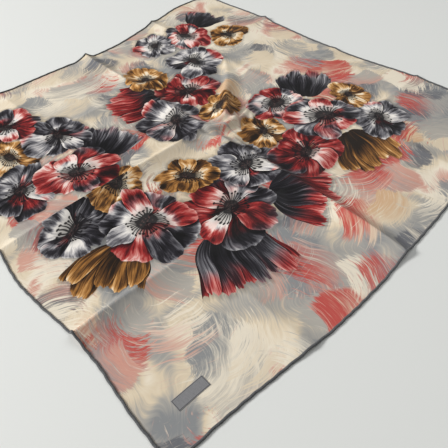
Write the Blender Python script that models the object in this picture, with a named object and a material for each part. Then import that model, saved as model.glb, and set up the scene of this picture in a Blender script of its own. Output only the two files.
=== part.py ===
"""A square headscarf laid out flat, after it was stored folded in quarters both ways.

One square cloth panel with a narrow rolled hem on each side and a small label near one corner.
X runs along the front hem, Y along the left hem, and the panel's underside rests on Z = 0.
The storage folds cross the cloth at each quarter of its side, and some still stand up as creases.
"""

from collections import namedtuple
from math import cos, hypot, pi, sin

import bpy
from mathutils import Vector

MM = 0.001

# Driving dimensions, in millimetres
SIDE = 900.0
CLOTH_THICKNESS = 1.2
HEM_WIDTH = 3.8
HEM_HEIGHT = 2.8
HEM_FACETS = 8
MITRE_GAP = 0.21
SEAM_GAP = 0.3
LABEL_LENGTH = 50.0
LABEL_WIDTH = 17.0
LABEL_THICKNESS = 1.0
LABEL_CENTRE = (71.0, 51.5)
LABEL_GRID = (8, 4)

# The panel stops short of the hem's middle line by half a hem and one seam gap.
INSET = (HEM_WIDTH / 2 + SEAM_GAP) / SIDE

# How each hem's middle line leaves the true square. A row is a station along the side:
# its share of the way, then its shift in X and in Y, in millimetres.
Station = namedtuple("Station", "share dx dy")
FRONT_HEM_LINE = (
    Station(0.00, -10, 11),
    Station(0.10, -10, 8),
    Station(0.20, -9, 0),
    Station(0.30, -8, -8),
    Station(0.42, -8, -9),
    Station(0.50, -8, -4),
    Station(0.63, -4, 3),
    Station(0.80, 3, 18),
    Station(1.00, 10, 32),
)
BACK_HEM_LINE = (
    Station(0.00, 2, -7),
    Station(0.25, 2, -8),
    Station(0.44, 2, -10),
    Station(0.50, 2, -16),
    Station(0.60, 4, -13),
    Station(0.70, 6, 7),
    Station(0.80, 8, 30),
    Station(0.87, 8, 46),
    Station(1.00, 8, 45),
)
LEFT_HEM_LINE = (
    Station(0.00, -10, 11),
    Station(0.07, -8, 11),
    Station(0.12, -4, 11),
    Station(0.18, 2, 10),
    Station(0.26, 3, 8),
    Station(0.34, -3, 6),
    Station(0.42, -5, 3),
    Station(0.50, 4, 0),
    Station(0.62, 8, -3),
    Station(1.00, 2, -7),
)
RIGHT_HEM_LINE = (
    Station(0.00, 10, 32),
    Station(0.12, 6, 32),
    Station(0.25, 7, 33),
    Station(0.38, -4, 29),
    Station(0.46, -9, 26),
    Station(0.58, -7, 28),
    Station(0.68, 0, 33),
    Station(0.80, 6, 38),
    Station(0.92, 3, 42),
    Station(1.00, 8, 45),
)

# The creases that stand up. Each runs in X or in Y at a share of the other side. A row is a place
# along it: share of the way, crest height, and how far the slope before and the slope after the
# crest reach before the cloth lies flat again, in millimetres.
Crest = namedtuple("Crest", "share height before after")
Crease = namedtuple("Crease", "runs at crests")
CREASES = (
    Crease("x", 0.25, (
        Crest(0.00, 13, 42, 9),
        Crest(0.06, 13, 44, 12),
        Crest(0.15, 10, 42, 20),
        Crest(0.30, 6, 40, 28),
        Crest(0.50, 5, 35, 28),
        Crest(0.75, 4, 32, 28),
        Crest(1.00, 6, 30, 25),
    )),
    Crease("x", 0.50, (
        Crest(0.00, 6, 40, 20),
        Crest(0.12, 11, 44, 16),
        Crest(0.25, 14, 44, 16),
        Crest(0.44, 14, 40, 25),
        Crest(0.50, 14, 40, 35),
        Crest(0.58, 3, 30, 30),
        Crest(0.66, 0, 20, 20),
        Crest(1.00, 0, 20, 20),
    )),
    Crease("x", 0.75, (
        Crest(0.00, 3, 40, 28),
        Crest(0.30, 4, 40, 28),
        Crest(0.50, 6, 45, 28),
        Crest(0.65, 4, 40, 28),
        Crest(0.90, 3, 40, 28),
        Crest(1.00, 6, 35, 25),
    )),
    Crease("y", 0.25, (
        Crest(0.00, 3, 40, 28),
        Crest(0.25, 5, 40, 28),
        Crest(0.50, 5, 40, 28),
        Crest(0.75, 4, 40, 28),
        Crest(1.00, 3, 40, 28),
    )),
    Crease("y", 0.50, (
        Crest(0.00, 6, 42, 24),
        Crest(0.10, 12, 48, 30),
        Crest(0.25, 13, 50, 32),
        Crest(0.42, 13, 45, 32),
        Crest(0.50, 14, 40, 35),
        Crest(0.58, 12, 40, 30),
        Crest(0.75, 11, 45, 30),
        Crest(0.92, 10, 40, 26),
        Crest(1.00, 13, 35, 22),
    )),
    Crease("y", 0.75, (
        Crest(0.00, 3, 40, 28),
        Crest(0.25, 4, 40, 28),
        Crest(0.50, 3, 40, 28),
        Crest(0.75, 4, 40, 28),
        Crest(1.00, 6, 35, 25),
    )),
)

# The pinch beside the crossing of the middle creases: ridges that part from one peak, one towards
# the back right corner and one to the right. A row is a point on a ridge in millimetres on the
# flat square, with its height and how far its slopes reach.
Pinch = namedtuple("Pinch", "x y height reach")
PEAK = Pinch(495, 439, 25, 42)
PINCH_RIDGES = (
    (
        Pinch(462, 448, 14, 40),
        PEAK,
        Pinch(528, 468, 18, 36),
        Pinch(568, 504, 12, 32),
        Pinch(628, 546, 7, 28),
        Pinch(672, 602, 1, 20),
    ),
    (
        PEAK,
        Pinch(514, 412, 13, 24),
        Pinch(560, 424, 5, 22),
        Pinch(610, 440, 1, 20),
    ),
    (
        Pinch(439, 612, 15, 34),
        Pinch(405, 648, 8, 30),
        Pinch(360, 690, 1, 24),
    ),
)

# A crease's slope falls with this power of the way left to its foot, and lies flat past this far.
SLOPE_CURVE = 1.6
FARTHEST_FOOT = 60.0

# The panel's mesh lines lie on every crease and at these distances from it, in millimetres,
# and at these places between the creases.
LINES_BY_CREASE = (-60, -34, -16, -5, 0, 5, 13, 28, 50)
LINES_BETWEEN = (40, 85, 130, 310, 350, 530, 560, 590, 770, 815, 860)

# The step either way, in millimetres, over which the cloth's slope is measured; the nearest that
# a hem counts when its shift is weighed; and the steps along a hem when the outline is measured.
SLOPE_STEP = 1.5
LEAST_SHARE = 0.000001
OUTLINE_STEPS = 200

# Faces that meet at more than this angle are shaded with a sharp edge between them.
SHARP_ANGLE = pi / 5

# Finishes: each piece's colour, roughness and sheen
Finish = namedtuple("Finish", "name colour roughness sheen")
CLOTH_FINISH = Finish("printed_cloth", (0.74, 0.68, 0.57, 1.0), 0.55, 0.3)
HEM_FINISH = Finish("hem_thread", (0.060, 0.064, 0.066, 1.0), 0.8, 0.2)
LABEL_FINISH = Finish("label_tape", (0.27, 0.29, 0.31, 1.0), 0.6, 0.2)


def along(rows, share, column):
    """One column of a table at a share of the way, on a smooth curve through its rows."""
    last = len(rows) - 1
    step = next((i for i in range(last) if share <= rows[i + 1].share), last - 1)

    def slope(i):
        low, high = rows[max(i - 1, 0)], rows[min(i + 1, last)]
        return (getattr(high, column) - getattr(low, column)) / (high.share - low.share)

    start, end = rows[step], rows[step + 1]
    span = end.share - start.share
    t = min(max((share - start.share) / span, 0.0), 1.0)
    a, b = getattr(start, column), getattr(end, column)
    ease = t * t * (3 - 2 * t)
    lead = t * (1 - t) ** 2 * span * slope(step)
    trail = t * t * (t - 1) * span * slope(step + 1)
    return a + (b - a) * ease + lead + trail


def shift(s, t, column):
    """How far a point of the cloth lies from the true square: each hem's own shift at the hem,
    and the mean of the four, weighed by nearness, inside."""
    sides = (
        (t, along(FRONT_HEM_LINE, s, column)),
        (1 - t, along(BACK_HEM_LINE, s, column)),
        (s, along(LEFT_HEM_LINE, t, column)),
        (1 - s, along(RIGHT_HEM_LINE, t, column)),
    )
    weights = [1 / max(distance, LEAST_SHARE) for distance, value in sides]
    return sum(w * value for w, (distance, value) in zip(weights, sides)) / sum(weights)


def slope_height(distance, crest, before, after):
    """Height of a crease's slope at a distance from its crest: sharp on top, easing to flat."""
    reach = after if distance > 0 else before
    return crest * max(1 - abs(distance) / reach, 0.0) ** SLOPE_CURVE


def crease_rise(crease, s, t):
    """Height that one crease gives the point (s, t) of the cloth."""
    way, across = (s, t) if crease.runs == "x" else (t, s)
    distance = (across - crease.at) * SIDE
    if abs(distance) > FARTHEST_FOOT:
        return 0.0
    crest, before, after = (along(crease.crests, way, c) for c in ("height", "before", "after"))
    return slope_height(distance, max(crest, 0.0), before, after)


def ridge_rise(ridge, s, t):
    """Height that one pinched ridge gives the point (s, t) of the cloth."""
    x, y = s * SIDE, t * SIDE
    best = 0.0
    for a, b in zip(ridge, ridge[1:]):
        run_x, run_y = b.x - a.x, b.y - a.y
        k = ((x - a.x) * run_x + (y - a.y) * run_y) / (run_x ** 2 + run_y ** 2)
        k = min(max(k, 0.0), 1.0)
        distance = hypot(x - a.x - k * run_x, y - a.y - k * run_y)
        reach = a.reach + (b.reach - a.reach) * k
        height = a.height + (b.height - a.height) * k
        best = max(best, slope_height(distance, height, reach, reach))
    return best


def rise(s, t):
    """Height of the cloth's underside. Where creases cross, their slopes run into each other."""
    heights = [crease_rise(crease, s, t) for crease in CREASES]
    heights.append(max(ridge_rise(ridge, s, t) for ridge in PINCH_RIDGES))
    return sum(h ** 3 for h in heights) ** (1 / 3)


def underside(s, t):
    """A point of the cloth's underside, in millimetres, from its shares of the two sides."""
    return Vector((s * SIDE + shift(s, t, "dx"), t * SIDE + shift(s, t, "dy"), rise(s, t)))


def outward(s, t):
    """The direction that points up out of the cloth at (s, t)."""
    step = SLOPE_STEP / SIDE
    low_s, high_s = max(s - step, 0.0), min(s + step, 1.0)
    low_t, high_t = max(t - step, 0.0), min(t + step, 1.0)
    run_s = underside(high_s, t) - underside(low_s, t)
    run_t = underside(s, high_t) - underside(s, low_t)
    return run_s.cross(run_t).normalized()


def mesh_lines():
    """Shares of the side at which the panel has a line of points."""
    quarters = (SIDE / 4, SIDE / 2, SIDE * 3 / 4)
    lines = {quarter + offset for quarter in quarters for offset in LINES_BY_CREASE}
    shares = sorted(line / SIDE for line in lines | set(LINES_BETWEEN))
    return [INSET] + shares + [1 - INSET]


def outline_centre():
    """The middle of the box round the whole scarf, which becomes the origin."""
    steps = [i / OUTLINE_STEPS for i in range(OUTLINE_STEPS + 1)]
    ring = [underside(s, t) for s in steps for t in (0.0, 1.0)]
    ring += [underside(s, t) for t in steps for s in (0.0, 1.0)]
    xs, ys = [p.x for p in ring], [p.y for p in ring]
    return Vector(((min(xs) + max(xs)) / 2, (min(ys) + max(ys)) / 2, 0.0))


CENTRE = outline_centre()


def make_material(finish):
    """A material for one of the plain cloth finishes."""
    material = bpy.data.materials.new(finish.name)
    material.use_nodes = True
    shader = material.node_tree.nodes["Principled BSDF"]
    shader.inputs["Base Color"].default_value = finish.colour
    shader.inputs["Roughness"].default_value = finish.roughness
    shader.inputs["Metallic"].default_value = 0.0
    shader.inputs["Sheen Weight"].default_value = finish.sheen
    material.diffuse_color = finish.colour
    return material


def make_object(name, points, faces, material):
    """An object from points in millimetres on the uncentred cloth."""
    mesh = bpy.data.meshes.new(name)
    mesh.from_pydata([(p - CENTRE) * MM for p in points], [], faces)
    mesh.materials.append(material)
    mesh.shade_smooth()
    mesh.set_sharp_from_angle(angle=SHARP_ANGLE)
    thing = bpy.data.objects.new(name, mesh)
    bpy.context.scene.collection.objects.link(thing)
    return thing


def wall_faces(columns, rows):
    """Faces of a closed wall whose lower and upper layers are grids of columns by rows points."""
    layer = columns * rows

    def point(i, j, upper):
        return i * rows + j + layer * upper

    faces = []
    for i in range(columns - 1):
        for j in range(rows - 1):
            lower = [point(i, j, 0), point(i, j + 1, 0), point(i + 1, j + 1, 0), point(i + 1, j, 0)]
            faces.append(lower)
            faces.append([index + layer for index in reversed(lower)])
    rim = [(i, 0) for i in range(columns)]
    rim += [(columns - 1, j) for j in range(1, rows)]
    rim += [(i, rows - 1) for i in range(columns - 2, -1, -1)]
    rim += [(0, j) for j in range(rows - 2, 0, -1)]
    for (i, j), (k, m) in zip(rim, rim[1:] + rim[:1]):
        faces.append([point(i, j, 0), point(k, m, 0), point(k, m, 1), point(i, j, 1)])
    return faces


def build_panel():
    """The cloth: one wall over the whole square, its upper face moved out of its lower one."""
    lines = mesh_lines()
    lower = [underside(s, t) for s in lines for t in lines]
    outs = [outward(s, t) for s in lines for t in lines]
    upper = [point + out * CLOTH_THICKNESS for point, out in zip(lower, outs)]
    faces = wall_faces(len(lines), len(lines))
    return make_object("cloth_panel", lower + upper, faces, make_material(CLOTH_FINISH))


def hem_point(side, share):
    """A point on a hem's middle line."""
    corners = {"front": (share, 0.0), "back": (share, 1.0), "left": (0.0, share), "right": (1.0, share)}
    return underside(*corners[side])


def build_hem(side, material):
    """One rolled hem: an oval roll along the cloth's edge, mitred at both corners."""
    lines = mesh_lines()
    shares = [0.0] + lines[1:-1] + [1.0]
    path = [hem_point(side, share) for share in shares]
    last = len(path) - 1
    inner_side = 1 if side in ("front", "right") else -1
    points = []
    for i, centre in enumerate(path):
        run = path[min(i + 1, last)] - path[max(i - 1, 0)]
        run.normalize()
        across = Vector((run.y, -run.x, 0.0)).normalized()
        up = across.cross(run)
        if up.z < 0:
            up.negate()
        # At a corner the roll is cut on the mitre, a little short of its neighbour.
        inward = {0: 1, last: -1}.get(i, 0)
        lean = inward * inner_side
        back = run * inward * MITRE_GAP
        for k in range(HEM_FACETS):
            turn = 2 * pi * (k + 0.5) / HEM_FACETS
            out = cos(turn) * HEM_WIDTH / 2
            lift = HEM_HEIGHT / 2 + sin(turn) * HEM_HEIGHT / 2 / sin(pi / 2 - pi / HEM_FACETS)
            points.append(centre + across * out - run * out * lean + back + up * lift)
    faces = [list(range(HEM_FACETS)), list(range(len(points) - 1, len(points) - 1 - HEM_FACETS, -1))]
    for i in range(last):
        for k in range(HEM_FACETS):
            a, b = i * HEM_FACETS + k, i * HEM_FACETS + (k + 1) % HEM_FACETS
            faces.append([a, a + HEM_FACETS, b + HEM_FACETS, b])
    return make_object(f"hem_{side}", points, faces, material)


def build_label():
    """The label: a small strip sewn flat on the cloth, made from the cloth's own points."""
    columns, rows = LABEL_GRID
    lower, upper = [], []
    for i in range(columns + 1):
        for j in range(rows + 1):
            s = (LABEL_CENTRE[0] + (i / columns - 0.5) * LABEL_LENGTH) / SIDE
            t = (LABEL_CENTRE[1] + (j / rows - 0.5) * LABEL_WIDTH) / SIDE
            out = outward(s, t)
            face = underside(s, t) + out * (CLOTH_THICKNESS + SEAM_GAP)
            lower.append(face)
            upper.append(face + out * LABEL_THICKNESS)
    faces = wall_faces(columns + 1, rows + 1)
    return make_object("label", lower + upper, faces, make_material(LABEL_FINISH))


def build_scarf():
    """The whole scarf, its pieces parented to one empty at the origin."""
    for thing in list(bpy.data.objects):
        bpy.data.objects.remove(thing, do_unlink=True)
    scarf = bpy.data.objects.new("scarf", None)
    bpy.context.scene.collection.objects.link(scarf)
    hem_material = make_material(HEM_FINISH)
    pieces = [build_panel(), build_label()]
    pieces += [build_hem(side, hem_material) for side in ("front", "right", "back", "left")]
    for piece in pieces:
        piece.parent = scarf


build_scarf()
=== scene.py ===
"""A square printed headscarf that was stored folded in quarters and is laid out on a pale table."""

from collections import namedtuple
from math import cos, hypot, pi, radians, sin

import bpy
import numpy as np
from mathutils import Matrix, Vector


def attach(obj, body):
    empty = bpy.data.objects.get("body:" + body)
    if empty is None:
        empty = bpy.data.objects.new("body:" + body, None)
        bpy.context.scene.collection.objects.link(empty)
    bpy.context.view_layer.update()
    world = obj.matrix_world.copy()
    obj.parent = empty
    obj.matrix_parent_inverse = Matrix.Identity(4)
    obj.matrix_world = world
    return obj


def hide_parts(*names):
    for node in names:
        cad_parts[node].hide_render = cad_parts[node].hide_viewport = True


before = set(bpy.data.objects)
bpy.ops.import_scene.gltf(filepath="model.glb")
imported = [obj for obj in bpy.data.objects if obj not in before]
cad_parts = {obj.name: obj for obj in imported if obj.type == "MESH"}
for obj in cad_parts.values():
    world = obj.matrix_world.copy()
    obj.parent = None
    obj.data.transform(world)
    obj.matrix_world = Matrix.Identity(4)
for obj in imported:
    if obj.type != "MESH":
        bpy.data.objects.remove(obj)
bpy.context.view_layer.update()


# ---------------------------------------------------------------------------------------------
# The cloth: one square of printed satin, 0.9 m each way, cut and printed in one piece. Storage
# folds cross it at each quarter of its side, and the middle ones still stand up as creases.
# It lies loose on the table: nothing holds it down but its weight and its hems.

MM = 0.001
SIDE = 900.0
CLOTH_THICKNESS = 0.5

# How each edge leaves the true square. A row is a station along the side: its share of the way,
# then its shift in X and in Y, in millimetres.
Station = namedtuple("Station", "share dx dy")
FRONT_EDGE = (
    Station(0.00, -10, 11),
    Station(0.10, -10, 8),
    Station(0.20, -9, 0),
    Station(0.30, -8, -8),
    Station(0.42, -8, -9),
    Station(0.50, -8, -4),
    Station(0.63, -4, 3),
    Station(0.80, 3, 18),
    Station(1.00, 10, 32),
)
BACK_EDGE = (
    Station(0.00, 2, -7),
    Station(0.25, 2, -8),
    Station(0.44, 2, -10),
    Station(0.50, 2, -16),
    Station(0.60, 4, -13),
    Station(0.70, 6, 7),
    Station(0.80, 8, 30),
    Station(0.87, 8, 46),
    Station(1.00, 8, 45),
)
LEFT_EDGE = (
    Station(0.00, -10, 11),
    Station(0.07, -8, 11),
    Station(0.12, -4, 11),
    Station(0.18, 2, 10),
    Station(0.26, 3, 8),
    Station(0.34, -3, 6),
    Station(0.42, -5, 3),
    Station(0.50, 4, 0),
    Station(0.62, 8, -3),
    Station(1.00, 2, -7),
)
RIGHT_EDGE = (
    Station(0.00, 10, 32),
    Station(0.12, 6, 32),
    Station(0.25, 7, 33),
    Station(0.38, -4, 29),
    Station(0.46, -9, 26),
    Station(0.58, -7, 28),
    Station(0.68, 0, 33),
    Station(0.80, 6, 38),
    Station(0.92, 3, 42),
    Station(1.00, 8, 45),
)

# The creases. Each runs in X or in Y at a share of the other side. A row is a place along it:
# share of the way, crest height, and how far the slope before and the slope after it reach.
Crest = namedtuple("Crest", "share height before after")
Crease = namedtuple("Crease", "runs at crests")
CREASES = (
    Crease("x", 0.25, (
        Crest(0.00, 13, 42, 9),
        Crest(0.06, 13, 44, 12),
        Crest(0.15, 10, 42, 20),
        Crest(0.30, 6, 40, 28),
        Crest(0.50, 5, 35, 28),
        Crest(0.75, 4, 32, 28),
        Crest(0.93, 3.4, 26, 18),
        Crest(1.00, 3, 24, 10),
    )),
    Crease("x", 0.50, (
        Crest(0.00, 6, 40, 20),
        Crest(0.12, 11, 44, 16),
        Crest(0.25, 14, 44, 16),
        Crest(0.44, 14, 40, 25),
        Crest(0.50, 14, 40, 35),
        Crest(0.58, 3, 30, 30),
        Crest(0.66, 0, 20, 20),
        Crest(0.82, 2, 24, 15),
        Crest(0.95, 2.6, 26, 13),
        Crest(1.00, 3.2, 26, 11),
    )),
    Crease("x", 0.75, (
        Crest(0.00, 3, 40, 28),
        Crest(0.30, 4, 40, 28),
        Crest(0.50, 6, 45, 28),
        Crest(0.65, 4, 40, 28),
        Crest(0.90, 3, 40, 28),
        Crest(1.00, 6, 35, 25),
    )),
    Crease("y", 0.25, (
        Crest(0.00, 3, 40, 28),
        Crest(0.25, 5, 40, 28),
        Crest(0.50, 5, 40, 28),
        Crest(0.75, 4, 40, 28),
        Crest(1.00, 3, 40, 28),
    )),
    Crease("y", 0.50, (
        Crest(0.00, 7, 42, 22),
        Crest(0.08, 13, 48, 26),
        Crest(0.25, 14, 50, 28),
        Crest(0.42, 14, 45, 30),
        Crest(0.50, 14, 40, 35),
        Crest(0.58, 12, 40, 30),
        Crest(0.75, 11, 45, 30),
        Crest(0.92, 10, 40, 26),
        Crest(1.00, 13, 35, 22),
    )),
    Crease("y", 0.75, (
        Crest(0.00, 3, 40, 28),
        Crest(0.25, 4, 40, 28),
        Crest(0.50, 3, 40, 28),
        Crest(0.75, 4, 40, 28),
        Crest(1.00, 6, 35, 25),
    )),
)

# The pinch beside the crossing of the middle creases: ridges that part from one peak. A row is a
# point on a ridge in millimetres on the flat square, with its height and its slopes' reach.
Pinch = namedtuple("Pinch", "x y height reach")
PEAK = Pinch(495, 439, 25, 42)
PINCH_RIDGES = (
    (
        Pinch(462, 448, 14, 40),
        PEAK,
        Pinch(528, 468, 18, 36),
        Pinch(568, 504, 12, 32),
        Pinch(628, 546, 7, 28),
        Pinch(672, 602, 1, 20),
    ),
    (
        PEAK,
        Pinch(514, 412, 13, 24),
        Pinch(560, 424, 5, 22),
        Pinch(610, 440, 1, 20),
    ),
    (
        Pinch(439, 612, 15, 34),
        Pinch(405, 648, 8, 30),
        Pinch(360, 690, 1, 24),
    ),
)

# Sharp lines where the cloth was pressed: low narrow ridges on top of the creases' own slopes,
# along the pinch, round its tuck, and beside the middle crease on the way up to it.
PRESSED_RIDGES = (
    (
        Pinch(486, 428, 0, 8),
        Pinch(506, 446, 4, 9),
        Pinch(530, 469, 6, 10),
        Pinch(562, 510, 7, 11),
        Pinch(622, 556, 5, 10),
        Pinch(694, 636, 0, 7),
    ),
    (
        Pinch(438, 446, 0, 6),
        Pinch(462, 436, 4, 8),
        Pinch(484, 423, 6, 8),
        Pinch(512, 419, 6, 8),
        Pinch(548, 430, 5, 7),
        Pinch(590, 448, 0, 6),
    ),
    (
        Pinch(458, 205, 0, 6),
        Pinch(462, 300, 2, 8),
        Pinch(470, 380, 3, 8),
        Pinch(482, 410, 0, 6),
    ),
)

# Narrow troughs: the tuck that winds along the foot of the pinch's peak, and the pressed line
# that runs from there to the right hem. A row's height is the share of the cloth's height taken.
TROUGHS = (
    (
        Pinch(440, 470, 0.0, 8),
        Pinch(442, 442, 0.5, 10),
        Pinch(452, 420, 0.85, 12),
        Pinch(474, 407, 0.95, 14),
        Pinch(502, 402, 0.95, 14),
        Pinch(532, 411, 0.9, 12),
        Pinch(566, 430, 0.0, 8),
    ),
    (
        Pinch(640, 452, 0.0, 4),
        Pinch(720, 450, 0.4, 6),
        Pinch(830, 450, 0.4, 7),
        Pinch(900, 450, 0.45, 8),
    ),
)

# Low swells where the cloth doesn't quite lie down, listed one by one: middle, height, and half
# lengths along and across, in millimetres, with the turn of the long way in degrees.
Swell = namedtuple("Swell", "x y height along across turn")
SWELLS = (
    Swell(110, 250, 2.0, 160, 38, 12),
    Swell(330, 120, 1.6, 150, 40, -20),
    Swell(600, 90, 1.8, 140, 36, 15),
    Swell(780, 180, 2.2, 130, 34, 40),
    Swell(340, 300, 1.4, 120, 36, 50),
    Swell(560, 330, 1.8, 130, 34, -30),
    Swell(120, 560, 1.8, 120, 34, -15),
    Swell(330, 600, 1.6, 130, 38, 35),
    Swell(180, 800, 2.0, 130, 36, 20),
    Swell(600, 640, 1.8, 140, 36, -40),
    Swell(800, 440, 3.0, 150, 60, 10),
    Swell(770, 620, 2.4, 130, 32, 80),
    Swell(400, 820, 1.8, 140, 34, 5),
    Swell(700, 820, 2.2, 120, 34, -35),
)


def along(rows, share, column):
    """One column of a table at shares of the way, on a smooth curve through its rows."""
    places = np.array([row.share for row in rows])
    values = np.array([getattr(row, column) for row in rows], dtype=float)
    before = np.maximum(np.arange(len(rows)) - 1, 0)
    after = np.minimum(np.arange(len(rows)) + 1, len(rows) - 1)
    slopes = (values[after] - values[before]) / (places[after] - places[before])
    step = np.clip(np.searchsorted(places, share) - 1, 0, len(rows) - 2)
    span = places[step + 1] - places[step]
    t = np.clip((share - places[step]) / span, 0, 1)
    ease = values[step] + (values[step + 1] - values[step]) * t * t * (3 - 2 * t)
    lead = t * (1 - t) ** 2 * span * slopes[step]
    trail = t * t * (t - 1) * span * slopes[step + 1]
    return ease + lead + trail


# On an edge itself the distance counts as this share of a side, so that the edge alone holds.
LEAST_DISTANCE = 1e-6


def shift(s, t, column):
    """How far the cloth lies from the true square: the four edges' shifts, weighed by nearness."""
    sides = (
        (t, along(FRONT_EDGE, s, column)),
        (1 - t, along(BACK_EDGE, s, column)),
        (s, along(LEFT_EDGE, t, column)),
        (1 - s, along(RIGHT_EDGE, t, column)),
    )
    weights = [1 / np.maximum(distance, LEAST_DISTANCE) for distance, value in sides]
    return sum(w * value for w, (distance, value) in zip(weights, sides)) / sum(weights)


# A crease's slope falls with this power of the way left to its foot. Its crest is rounded, and
# a pinched ridge's crest, which runs across the mesh's lines, more so.
SLOPE_CURVE = 1.6
CREST_ROUNDING = 0.5
PINCH_ROUNDING = 2.2


def slope_height(distance, crest, before, after, rounding):
    """Height of a crease's slope at a distance from its crest, easing down to flat."""
    reach = np.where(distance > 0, after, before)
    rounded = np.hypot(distance, rounding) - rounding
    return crest * np.maximum(1 - rounded / reach, 0) ** SLOPE_CURVE


def crease_rise(crease, s, t):
    """Height that one crease gives the cloth."""
    way, across = (s, t) if crease.runs == "x" else (t, s)
    crest, before, after = (along(crease.crests, way, c) for c in ("height", "before", "after"))
    distance = (across - crease.at) * SIDE
    return slope_height(distance, np.maximum(crest, 0), before, after, CREST_ROUNDING)


def ridge_rise(ridge, s, t):
    """Height that one pinched ridge gives the cloth."""
    x, y = s * SIDE, t * SIDE
    best = np.zeros_like(x)
    for a, b in zip(ridge, ridge[1:]):
        run_x, run_y = b.x - a.x, b.y - a.y
        k = ((x - a.x) * run_x + (y - a.y) * run_y) / (run_x ** 2 + run_y ** 2)
        k = np.clip(k, 0, 1)
        distance = np.hypot(x - a.x - k * run_x, y - a.y - k * run_y)
        reach = a.reach + (b.reach - a.reach) * k
        height = a.height + (b.height - a.height) * k
        best = np.maximum(best, slope_height(distance, height, reach, reach, PINCH_ROUNDING))
    return best


# How fast a swell dies away with the square of the way out from its middle.
SWELL_FALLOFF = 2


def swell_rise(s, t):
    """Height of the low swells between the creases."""
    total = np.zeros_like(s)
    for swell in SWELLS:
        x, y = s * SIDE - swell.x, t * SIDE - swell.y
        turn = radians(swell.turn)
        along_way = (x * cos(turn) + y * sin(turn)) / swell.along
        across_way = (y * cos(turn) - x * sin(turn)) / swell.across
        total += swell.height * np.exp(-SWELL_FALLOFF * (along_way ** 2 + across_way ** 2))
    return total


# Creases that cross run into each other: their heights are added in this power.
CREASE_BLEND = 3


def rise(s, t):
    """Height of the cloth's underside, from all its creases, ridges, swells and troughs."""
    heights = [crease_rise(crease, s, t) for crease in CREASES]
    heights.append(np.maximum.reduce([ridge_rise(ridge, s, t) for ridge in PINCH_RIDGES]))
    raised = sum(h ** CREASE_BLEND for h in heights) ** (1 / CREASE_BLEND) + swell_rise(s, t)
    raised += np.maximum.reduce([ridge_rise(ridge, s, t) for ridge in PRESSED_RIDGES])
    return raised * (1 - np.maximum.reduce([ridge_rise(trough, s, t) for trough in TROUGHS]))


# The hand-rolled edge isn't quite even: it waves by this much, in waves of about this length,
# and the waves die out this far into the cloth, in millimetres.
WAVE_HEIGHT = 0.32
WAVE_LENGTH = 23.0
WAVE_REACH = 9.0
# The waves come now early and now late, and a slower wave rides with them. Rates and heights are
# shares of the first wave's. The front and back edges are out of step with the sides.
WANDER = 1.7
WANDER_RATE = 0.13
SLOW_HEIGHT = 0.6
SLOW_RATE = 0.41
SLOW_START = 2
OUT_OF_STEP = 40


def edge_wave(length, from_edges):
    """The edge's unevenness at a length along it, near either of two opposite edges."""
    even = 2 * pi * length / WAVE_LENGTH
    wave = np.sin(even + WANDER * np.sin(even * WANDER_RATE))
    wave += SLOW_HEIGHT * np.sin(even * SLOW_RATE + SLOW_START)
    return WAVE_HEIGHT * wave * np.exp(-from_edges / WAVE_REACH)


def on_cloth(s, t):
    """Points of the cloth's underside, in millimetres, from their shares of the two sides."""
    flat_x, flat_y = s * SIDE, t * SIDE
    wave_x = edge_wave(flat_y, np.minimum(flat_x, SIDE - flat_x))
    wave_y = edge_wave(flat_x + OUT_OF_STEP, np.minimum(flat_y, SIDE - flat_y))
    placed_x = flat_x + shift(s, t, "dx") + wave_x
    placed_y = flat_y + shift(s, t, "dy") + wave_y
    return np.stack([placed_x, placed_y, rise(s, t)], -1)


OUTLINE_STEPS = 200


def outline_centre():
    """The middle of the box round the outline, which is the origin of the whole scarf."""
    steps = np.linspace(0, 1, OUTLINE_STEPS + 1)
    low, high = np.zeros_like(steps), np.ones_like(steps)
    sides = ((steps, low), (steps, high), (low, steps), (high, steps))
    ring = np.concatenate([on_cloth(s, t)[:, :2] for s, t in sides])
    middle = (ring.min(0) + ring.max(0)) / 2
    return np.array([middle[0], middle[1], 0])


CENTRE = outline_centre()

# How many cells the mesh has in each quarter of a side. They are narrow near the creases.
CELLS = (44, 56, 72, 44)
CROWDING = 0.5


def cell_lines():
    """Shares of the side at which the mesh has a line of points."""
    lines = [0.0]
    for quarter, cells in enumerate(CELLS):
        for cell in range(1, cells + 1):
            k = cell / cells
            lines.append((quarter + k - CROWDING * sin(2 * pi * k) / (2 * pi)) / len(CELLS))
    return np.array(lines)


def deselect_all():
    """Nothing selected, so that an operator acts on the new piece alone."""
    bpy.ops.object.select_all(action="DESELECT")


def positions(mesh):
    """A mesh's points as an array."""
    flat = np.empty(len(mesh.vertices) * 3)
    mesh.vertices.foreach_get("co", flat)
    return flat.reshape(-1, 3)


def move_points(mesh, points):
    """Puts a mesh's points at places given in millimetres on the uncentred cloth."""
    mesh.vertices.foreach_set("co", ((points - CENTRE) * MM).ravel())
    mesh.update()


def keep_vectors(mesh, name, vectors):
    """Keeps a vector for each point of a mesh, under a name that the material reads."""
    attribute = mesh.attributes.new(name, "FLOAT_VECTOR", "POINT")
    attribute.data.foreach_set("vector", vectors.ravel())


def thicken(piece, thickness):
    """Gives the active piece its thickness upwards, so its underside stays where it rests."""
    wall = piece.modifiers.new("wall", "SOLIDIFY")
    wall.thickness = thickness * MM
    wall.offset = 1
    bpy.ops.object.modifier_apply(modifier=wall.name)


LINES = cell_lines()
deselect_all()
bpy.ops.mesh.primitive_grid_add(x_subdivisions=sum(CELLS), y_subdivisions=sum(CELLS), size=1)
cloth = bpy.context.object
cloth.name = "printed_cloth_sheet"
cell_x, cell_y = np.rint((positions(cloth.data)[:, :2] + 0.5) * sum(CELLS)).astype(int).T
S, T = LINES[cell_x], LINES[cell_y]
move_points(cloth.data, on_cloth(S, T))


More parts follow.
